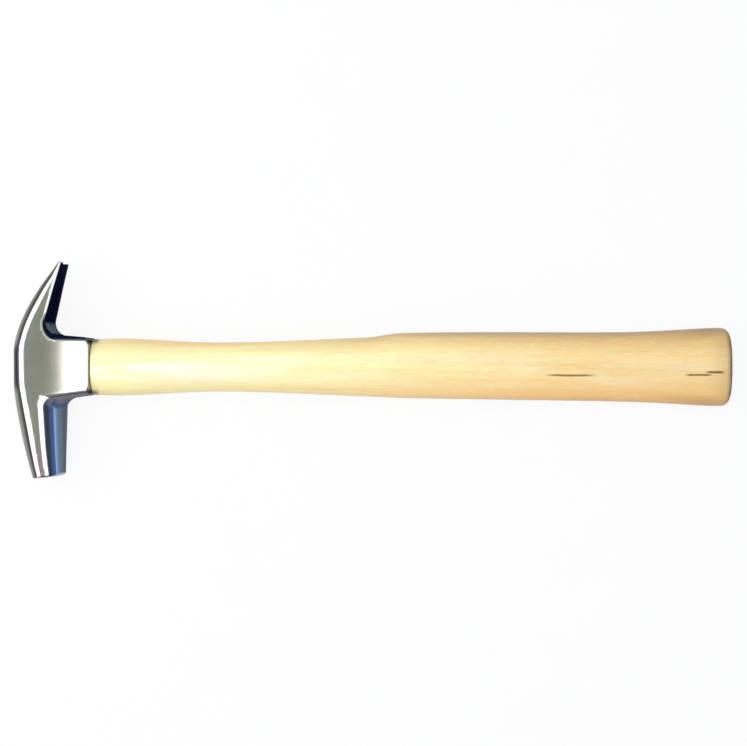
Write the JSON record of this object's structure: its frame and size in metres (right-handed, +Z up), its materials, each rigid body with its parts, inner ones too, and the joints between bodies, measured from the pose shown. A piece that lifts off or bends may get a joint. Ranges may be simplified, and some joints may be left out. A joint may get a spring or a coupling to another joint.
{
  "type": "driving hammer",
  "caption": "Farrier's driving hammer with a forged steel head, round striking poll, adze eye and split nail claw, wedged on a shaved hickory handle.",
  "frame": {"origin": "middle of the bounding box on the plane the hammer lies on", "axes": "+X along the handle from the head to the butt, +Y from the striking face to the claw, +Z up, across the cheeks"},
  "size_m": [0.3296, 0.1002, 0.0254],
  "materials": {
    "polished_steel": "forged, ground and polished bright",
    "hickory": "shaved, sanded and clear lacquered",
    "wedge_wood": "sawn hardwood",
    "wedge_steel": "stamped mild steel"
  },
  "bodies": {
    "root": {"hammer_head": "polished_steel", "handle": "hickory", "wooden_wedge": "wedge_wood", "steel_wedge_front": "wedge_steel", "steel_wedge_rear": "wedge_steel"}
  },
  "joints": []
}
